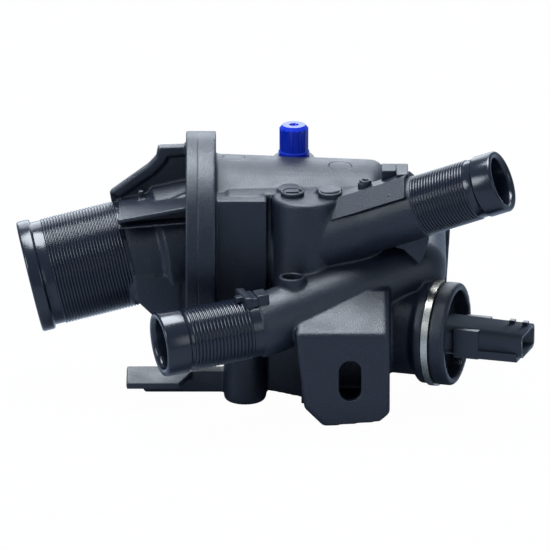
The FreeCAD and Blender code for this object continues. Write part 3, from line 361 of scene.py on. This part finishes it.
# Housing details that come sharper from the tool: the flat along the upper pipe with its stepped
# lugs, the fin between the pipes, the saddle of the lower stub, two round marks, a hollow pin post
# and the ring on the lower pipe.
SHARP_ANGLE = math.radians(35)
BEVEL_ANGLE = math.radians(40)
FINE_EDGE = 0.08 * MM
DETAIL_EDGE = 0.35 * MM
FACET = [(-6.2, 10.2), (-11.6, 3.6), (-11.6, -3.6), (-6.2, -10.2)]
FACET_STATIONS = (30.2, 57.5)
LUGS = [
    ((27.1, -62.0, 20.0), (32.0, -54.0, 30.4)),
    ((31.9, -66.0, 20.0), (35.8, -54.0, 30.4)),
    ((29.0, -72.0, 17.0), (36.2, -65.9, 25.3)),
]
FIN = [(28.6, 6.6), (42.1, 10.8), (42.7, 8.4), (39.9, -0.6), (34.4, 4.7)]
FIN_BACK = -64.6
FIN_FRONT = -66.8
SADDLE = ([(-8.5, -5.6), (-11.6, -5.6), (-11.6, 2.8), (-9.8, 5.6), (-8.5, 5.6)], 30.4, 33.2)
SADDLE_HOOK = ([(-10.0, -2.6), (-11.9, -2.6), (-11.9, 0.0), (-10.0, 0.0)], 26.6, 30.8)
SADDLE_PLATE = ([(-8.5, -5.4), (-12.2, -5.4), (-12.2, 1.0), (-8.5, 1.0)], 33.0, 37.0)
MARKS = [(-1.9, -58.6, 22.4), (10.3, -59.6, 22.6)]
MARK_RADIUS = 3.9
MARK_RIM = 0.7
MARK_RECESS = 0.6
MARK_FOOT = 6.0
MARK_BAR = (2.1, 0.4)
MARK_BAR_TOP = 0.2
MARK_BAR_FOOT = 1.0
ROUND_DETAIL_SIDES = 64


def crisp(name, solids, material, edge):
    """Closed surfaces in one piece, with a narrow bevel along their sharp edges."""
    mesh = solid_mesh(name, solids)
    piece = new_piece(name, mesh, material)
    mesh.set_sharp_from_angle(angle=SHARP_ANGLE)
    bevel = piece.modifiers.new("edges", "BEVEL")
    bevel.width = edge
    bevel.segments = 2
    bevel.limit_method = "ANGLE"
    bevel.angle_limit = BEVEL_ANGLE
    return piece


def cup(place, chamfer=0.3, axis_gap=0.02, slope=0.1):
    """Round mark with a shallow recess, its rim's top at place: a profile turned about Z."""
    rim = MARK_RADIUS - MARK_RIM
    outside = [(axis_gap, -MARK_FOOT), (MARK_RADIUS, -MARK_FOOT), (MARK_RADIUS, -chamfer)]
    inside = [(MARK_RADIUS - chamfer, 0), (rim, 0), (rim - slope, -MARK_RECESS), (axis_gap, -MARK_RECESS)]
    return turned(outside + inside, np.array(place), sides=ROUND_DETAIL_SIDES)


def mark_bar(place):
    """Plain bar in the recess of a round mark."""
    x, y, z = place
    half_length, half_width = MARK_BAR
    low = (x - half_length, y - half_width, z - MARK_BAR_FOOT)
    return slab(low, (x + half_length, y + half_width, z - MARK_BAR_TOP))


def ring(place, radius, bore, foot, edge=0.25, shoulder=0.4, fall=0.05):
    """Upright ring with rounded rim, its top at place: a profile turned about Z."""
    outside = [(bore, -foot), (radius, -foot), (radius, -shoulder), (radius - edge, -fall)]
    return turned(outside + [(bore + edge, 0), (bore, -edge)], np.array(place), sides=ROUND_DETAIL_SIDES)


round_marks = [solid for place in MARKS for solid in (cup(place), mark_bar(place))]
crisp("round_marks", round_marks, BODY_NYLON, FINE_EDGE)
pin_post = ring((21.4, -61.5, 26.4), radius=2.0, bore=1.0, foot=8.0)
pipe_ring = ring((-2.0, -75.7, -1.3), radius=4.45, bore=3.2, foot=7.0)
crisp("pipe_rings", [pin_post, pipe_ring], BODY_NYLON, FINE_EDGE)
pipe_details = [prism(FACET, *FACET_STATIONS, *UPPER)]
pipe_details += [slab(*lug) for lug in LUGS]
pipe_details += [upright(FIN, FIN_BACK, FIN_FRONT)]
pipe_details += [prism(*part, *LOWER) for part in (SADDLE, SADDLE_HOOK, SADDLE_PLATE)]
crisp("pipe_details", pipe_details, BODY_NYLON, DETAIL_EDGE)

# Inlet cover: the second moulding of the same nylon, welded to the housing at the flange. Its shelf
# leans on a fairing over the chamber's neck, its flange is as wide as the housing's, and its
# locating tab hangs below.
RADIATOR_STUB = {"bore": 15.0, "radius": 17.25, "bead": 18.5}
RADIATOR_SLIM_LENGTH = 33.2
COVER_FLANGE = (-36.8, -32.4)
FAIRING = [(-48.0, 13.3), (-34.0, 18.4), (-34.0, 8.0), (-48.0, 8.0)]
FAIRING_BACK = -33.4
FAIRING_FRONT = -46.0
TAB = [(-53.0, -9.0), (-53.0, -12.0), (-46.6, -19.8), (-34.0, -19.8), (-34.0, -9.0)]
TAB_BACK = -50.0
TAB_FRONT = -54.8
TAB_BOX = ((-56, -60, -19), (-36, -50, -2))
TAB_DROP = (0, 0, -3.3)
COVER_VOXEL = 0.42 * MM
COVER_SMOOTHING = 3


def reshape_cover(points):
    """The large hose stub drawn in, and the points in the tab's box moved down."""
    points = slim(points, RADIATOR, RADIATOR_SLIM_LENGTH, **RADIATOR_STUB)
    low, high = TAB_BOX
    in_box = np.all((points >= low) & (points <= high), axis=1)
    return points + np.outer(in_box, TAB_DROP)


finish_node("inlet_cover", BODY_NYLON)
cover_forms = [
    flange_ring(*COVER_FLANGE),
    upright(FAIRING, FAIRING_BACK, FAIRING_FRONT),
    upright(TAB, TAB_BACK, TAB_FRONT),
]
moulded("moulded_cover", "inlet_cover", reshape_cover, cover_forms, COVER_VOXEL, COVER_SMOOTHING)

# Hose stubs: three sleeves of the same nylon, moulded against polished steel and so the glossiest
# surfaces. Each has a bead at the mouth that the hose snaps over, and rows of fine rounded ribs.
STUB_ROUGHNESS = (0.16, 0.24)
STUB_NYLON = moulded_nylon("polished_nylon", STUB_ROUGHNESS, grain_height=0.12, fibre_share=0.15)
RIB = [(0.0, 0.0), (0.12, 0.22), (0.3, 0.36), (0.45, 0.4), (0.6, 0.36), (0.78, 0.22), (0.9, 0.0)]
BEAD_EDGE = 0.8
BEAD_STEPS = 6
STUB_SIDES = 128
STUB_SHARP_ANGLE = math.radians(50)
MOUTH_ROUND = [(0.0, 1.6), (0.25, 0.75), (0.7, 0.2)]
BEAD_FOOT = [(0.15, 0.05), (0.0, 0.3)]


def hose_stub(name, frame_place, length, bore, radius, bead, bead_length, rib_start, rib_pitch, ribs):
    """Sleeve turned about its frame's Z from the mouth. Its profile is the bead with two quarter
    rounds, a foot, the ribs as (share of the pitch, height) curves, the land and the bore."""
    angle = np.linspace(0, math.pi / 2, BEAD_STEPS)
    middle = bead - BEAD_EDGE
    front = np.column_stack((middle + BEAD_EDGE * np.sin(angle), BEAD_EDGE - BEAD_EDGE * np.cos(angle)))
    back = np.column_stack(
        (middle + BEAD_EDGE * np.cos(angle), bead_length - BEAD_EDGE + BEAD_EDGE * np.sin(angle))
    )
    foot = [(radius + out, bead_length + station) for out, station in BEAD_FOOT]
    share, height = np.array(RIB).T
    rib_stations = rib_start + (np.arange(ribs)[:, None] + share) * rib_pitch
    ridges = np.column_stack((np.tile(radius + height, ribs), rib_stations.ravel()))
    inner = [(radius, length), (bore, length)] + [(bore + out, station) for out, station in MOUTH_ROUND]
    profile = np.concatenate((front, back, foot, ridges, inner))
    mesh = solid_mesh(name, [turned(profile, *frame_place, STUB_SIDES)])
    piece = new_piece(name, mesh, STUB_NYLON)
    mesh.set_sharp_from_angle(angle=STUB_SHARP_ANGLE)
    return piece


hose_stub(
    "upper_hose_stub", UPPER, 29.8, **UPPER_STUB, bead_length=7.5, rib_start=10.2, rib_pitch=1.0, ribs=19
)
hose_stub(
    "lower_hose_stub", LOWER, 33.6, **LOWER_STUB, bead_length=8.3, rib_start=9.6, rib_pitch=1.2, ribs=17
)
hose_stub(
    "radiator_hose_stub", RADIATOR, 34.0, **RADIATOR_STUB, bead_length=4.5, rib_start=8.0, rib_pitch=1.0,
    ribs=25,
)

# Sensor: head and two-pin connector shell moulded in a satin nylon without glass, smoother than the
# housing. The shell stands on a base block and has a rail and two posts for the plug's latch.
SENSOR_ROUGHNESS = (0.30, 0.40)
SENSOR_NYLON = moulded_nylon("satin_nylon", SENSOR_ROUGHNESS, grain_height=0.15, fibre_share=0.1)
SENSOR = (np.array((52.1, -66.0, -24.4)), axes(163.0, 90.0))
CONNECTOR_START = -3.6
CONNECTOR_HALF_WIDTH = 9
CONNECTOR_FLATTEN = 0.82
CONNECTOR_SHORTEN = 0.94
CONNECTOR_BASE = ([(-4.4, -8.4), (5.2, -8.4), (5.2, 8.4), (-4.4, 8.4)], -9.4, -1.0)
CONNECTOR_RAIL = ([(2.2, 1.0), (4.9, 1.0), (4.9, 8.6), (2.2, 8.6)], -22.6, -9.0)
INNER_POST = ([(-5.4, -5.2), (-3.6, -5.2), (-3.6, -3.2), (-5.4, -3.2)], -18.4, -16.6)
OUTER_POST = ([(-5.4, -4.6), (-3.6, -4.6), (-3.6, -2.6), (-5.4, -2.6)], -23.0, -21.2)


def reshape_sensor(points):
    """The connector's points drawn towards the sensor's axis and its head: place + share of x X
    + y Y + share of z Z."""
    place, frame_axes = SENSOR
    local = (points - place) @ np.array(frame_axes).T
    drawn = place + (local * (CONNECTOR_FLATTEN, 1, CONNECTOR_SHORTEN)) @ np.array(frame_axes)
    nose = (local[:, 2] < CONNECTOR_START) & (np.abs(local[:, 1]) < CONNECTOR_HALF_WIDTH)
    return np.where(nose[:, None], drawn, points)


finish_node("sensor_body", SENSOR_NYLON)
connector_parts = [
    prism(*part, *SENSOR) for part in (CONNECTOR_BASE, CONNECTOR_RAIL, INNER_POST, OUTER_POST)
]
shell = solid_mesh("sensor_shell", connector_parts, reshaped_copy("sensor_body", reshape_sensor))
sensor_shell = new_piece("sensor_shell", shell, SENSOR_NYLON)
shell.set_sharp_from_angle(angle=SHARP_ANGLE)
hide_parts("sensor_body")

# Sensor fittings: a turned brass probe, two tinned blades and the pale spring clip that holds the
# head in its port, with a rubber ring under the head.
GRIT_WIDTH = 0.3 * MM
GRIT_DEPTH = 0.05 * MM
GLOSS_DRIFT = 0.05


def plain_material(name, colour, roughness, metallic=0.0):
    """A material of one base colour whose gloss wanders a little and whose surface has a fine grit,
    drawn wider than the real one so that it shows."""
    material = bpy.data.materials.new(name)
    material.use_nodes = True
    tree = material.node_tree
    tree.nodes.clear()
    place = add(tree, "ShaderNodeTexCoord").outputs["Object"]
    grit = add(tree, "ShaderNodeTexNoise", Vector=place, Scale=1 / GRIT_WIDTH, Detail=2.0)
    shade = add(
        tree, "ShaderNodeMapRange", Value=grit.outputs["Fac"],
        From_Min=0.3, From_Max=0.7, To_Min=0.9, To_Max=1.06,
    )
    tint = add(
        tree, "ShaderNodeVectorMath", {"operation": "SCALE"},
        i0=linear(colour)[:3], Scale=shade.outputs["Result"],
    )
    gloss = add(
        tree, "ShaderNodeMapRange", Value=grit.outputs["Fac"], From_Min=0.3, From_Max=0.7,
        To_Min=roughness - GLOSS_DRIFT, To_Max=roughness + GLOSS_DRIFT,
    )
    relief = add(
        tree, "ShaderNodeBump", Height=grit.outputs["Fac"], Strength=0.1, Distance=GRIT_DEPTH
    )
    shader = add(
        tree, "ShaderNodeBsdfPrincipled", Base_Color=tint.outputs["Vector"], Metallic=metallic,
        Roughness=gloss.outputs["Result"], Normal=relief.outputs["Normal"],
    )
    add(tree, "ShaderNodeOutputMaterial", Surface=shader.outputs["BSDF"])
    return material


BRASS = plain_material("turned_brass", "#C9A45C", 0.28, metallic=1.0)
TINNED = plain_material("tinned_bronze", "#C8C6C0", 0.3, metallic=1.0)
SPRING_STEEL = plain_material("spring_steel", "#C9C4B8", 0.3, metallic=1.0)
RUBBER = plain_material("epdm_rubber", "#1A1A1B", 0.7)
finish_node("sensor_probe", BRASS)
finish_node("sensor_terminals", TINNED)
finish_node("sensor_clip", SPRING_STEEL)
finish_node("sensor_seal", RUBBER)

# Bleed screw: a blue fluted cap moulded in glossy acetal with its shank, sealed by a rubber ring.
# It is turned by hand to let air out.
BLUE_CAP = plain_material("blue_acetal", "#0228B0", 0.2)
finish_node("bleed_screw", BLUE_CAP)
finish_node("bleed_seal", RUBBER)

# Valve: pressed steel parts round a brass wax capsule, with a rubber ring at its flange. All of it
# sits in the chamber and slides against the main spring.
for steel in ("valve_flange", "valve_bridge", "valve_cage", "valve_plate", "piston", "main_spring"):
    finish_node(steel, SPRING_STEEL)
finish_node("wax_capsule", BRASS)
finish_node("valve_seal", RUBBER)

# Engine face: rubber rings in the grooves of both ports, and steel bushes pressed into the three
# bolt holes.
for seal in ("port_seal", "return_seal"):
    finish_node(seal, RUBBER)
for bush in ("bolt_bush_1", "bolt_bush_2", "bolt_bush_3"):
    finish_node(bush, SPRING_STEEL)

# Studio: a pale floor under the part, a white surround and four soft lamps. The camera stands in
# front and a little above, far away with a long lens.
LOOK_AT = Vector((-7.6, -56.0, -7.3)) * MM
CAMERA_RISE = math.radians(18.0)
CAMERA_DISTANCE = 4500 * MM
CAMERA_LENS = 900
SENSOR_WIDTH = 36
FLOOR_COLOUR = "#959EAC"
FLOOR_WHITE_SHARE = 0.985
FLOOR_SIDE = 12.0
FLOOR_Z = cad_box[0][2] - 0.3 * MM
WHITE = (1, 1, 1, 1)
SKY_TINT = "#D1E7FF"
SKY_LEVEL = 0.42
LAMP_TINT = (0.86, 0.93, 1.0)


def pale_floor():
    """White for the camera, and a dull pale surface that keeps a little of the shadow."""
    material = bpy.data.materials.new("pale_floor")
    material.use_nodes = True
    tree = material.node_tree
    tree.nodes.clear()
    ray = add(tree, "ShaderNodeLightPath")
    paper = add(tree, "ShaderNodeBsdfDiffuse", Color=linear(FLOOR_COLOUR))
    glow = add(tree, "ShaderNodeEmission", Color=WHITE, Strength=1.0)
    share = add(
        tree, "ShaderNodeMath", {"operation": "MULTIPLY"},
        i0=ray.outputs["Is Camera Ray"], i1=FLOOR_WHITE_SHARE,
    )
    mix = add(
        tree, "ShaderNodeMixShader", i0=share.outputs["Value"],
        i1=paper.outputs["BSDF"], i2=glow.outputs["Emission"],
    )
    add(tree, "ShaderNodeOutputMaterial", Surface=mix.outputs["Shader"])
    return material


def flat_square(name, side, height):
    """A level square centred under the part."""
    half = side / 2
    corners = [(-half, -half, height), (half, -half, height), (half, half, height), (-half, half, height)]
    mesh = bpy.data.meshes.new(name)
    mesh.from_pydata(corners, [], [(0, 1, 2, 3)])
    piece = bpy.data.objects.new(name, mesh)
    bpy.context.scene.collection.objects.link(piece)
    return piece


floor = flat_square("floor", FLOOR_SIDE, FLOOR_Z)
floor.data.materials.append(pale_floor())

world = bpy.data.worlds.new("surround")
bpy.context.scene.world = world
world.use_nodes = True
sky = world.node_tree
sky.nodes.clear()
ray = add(sky, "ShaderNodeLightPath")
seen = add(
    sky, "ShaderNodeMath", {"operation": "MAXIMUM"},
    i0=ray.outputs["Is Camera Ray"], i1=ray.outputs["Is Transmission Ray"],
)
level = add(sky, "ShaderNodeMapRange", Value=seen.outputs["Value"], To_Min=SKY_LEVEL, To_Max=1.0)
tint = add(
    sky, "ShaderNodeMix", {"data_type": "RGBA"}, i0=ray.outputs["Is Camera Ray"],
    i6=linear(SKY_TINT), i7=WHITE,
)
surround = add(
    sky, "ShaderNodeBackground", Color=tint.outputs["Result"], Strength=level.outputs["Result"]
)
add(sky, "ShaderNodeOutputWorld", Surface=surround.outputs["Background"])


def soft_lamp(name, place, width, power):
    """A square lamp turned towards the part."""
    light = bpy.data.lights.new(name, "AREA")
    light.size = width
    light.energy = power
    light.color = LAMP_TINT
    lamp = bpy.data.objects.new(name, light)
    lamp.location = Vector(place)
    lamp.rotation_euler = (LOOK_AT - lamp.location).to_track_quat("-Z", "Y").to_euler()
    bpy.context.scene.collection.objects.link(lamp)


soft_lamp("top_lamp", (-0.12, 0.12, 0.9), 0.6, 17.0)
soft_lamp("back_lamp", (0.0, 1.5, 0.62), 1.2, 13.0)
soft_lamp("left_lamp", (-0.8, -0.6, 0.45), 0.4, 4.0)
soft_lamp("right_lamp", (0.7, -0.9, 0.35), 0.5, 1.5)

lens = bpy.data.cameras.new("camera")
lens.lens = CAMERA_LENS
lens.sensor_width = SENSOR_WIDTH
camera = bpy.data.objects.new("camera", lens)
camera.location = LOOK_AT + CAMERA_DISTANCE * Vector((0, -math.cos(CAMERA_RISE), math.sin(CAMERA_RISE)))
camera.rotation_euler = (LOOK_AT - camera.location).to_track_quat("-Z", "Y").to_euler()
bpy.context.scene.collection.objects.link(camera)
bpy.context.scene.camera = camera

bpy.context.scene.view_settings.view_transform = "Standard"
